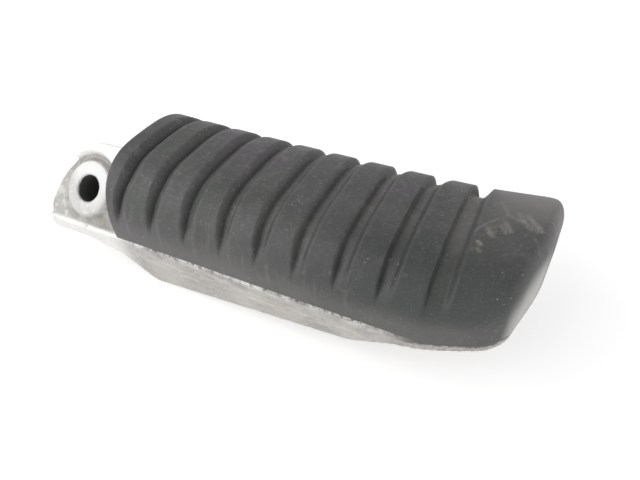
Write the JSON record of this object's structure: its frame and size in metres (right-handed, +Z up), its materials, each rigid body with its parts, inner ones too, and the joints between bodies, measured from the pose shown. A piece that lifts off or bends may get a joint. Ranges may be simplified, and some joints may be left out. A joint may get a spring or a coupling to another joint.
{
  "type": "motorcycle passenger footpeg",
  "caption": "Cast aluminium passenger footpeg with a grooved, tapering rubber tread and a leaning pivot lug bored for its hinge pin.",
  "frame": {"origin": "middle of the pivot bore, on its axis, half way between the two boss faces", "axes": "+X along the peg from the pivot towards the tip, +Z up through the tread, +Y to the far side of the tread; the pivot axis is square to X and leans 45 degrees, through (0, -1, 1)"},
  "size_m": [0.1417, 0.043, 0.0375],
  "materials": {
    "cast_aluminium": "bare die-cast aluminium, matt, a little stained",
    "tread_rubber": "matt black moulded rubber, dusty and lightly scuffed",
    "zinc_plated_steel": "dull zinc plating"
  },
  "bodies": {
    "root": {"footrest_casting": "cast_aluminium", "tread_rubber": "tread_rubber", "insert_plate": "zinc_plated_steel", "weld_nut_inner": "zinc_plated_steel", "weld_nut_outer": "zinc_plated_steel", "tread_screw_inner": "zinc_plated_steel", "tread_screw_outer": "zinc_plated_steel", "flat_washer_inner": "zinc_plated_steel", "flat_washer_outer": "zinc_plated_steel", "spring_washer_inner": "zinc_plated_steel", "spring_washer_outer": "zinc_plated_steel"}
  },
  "joints": []
}
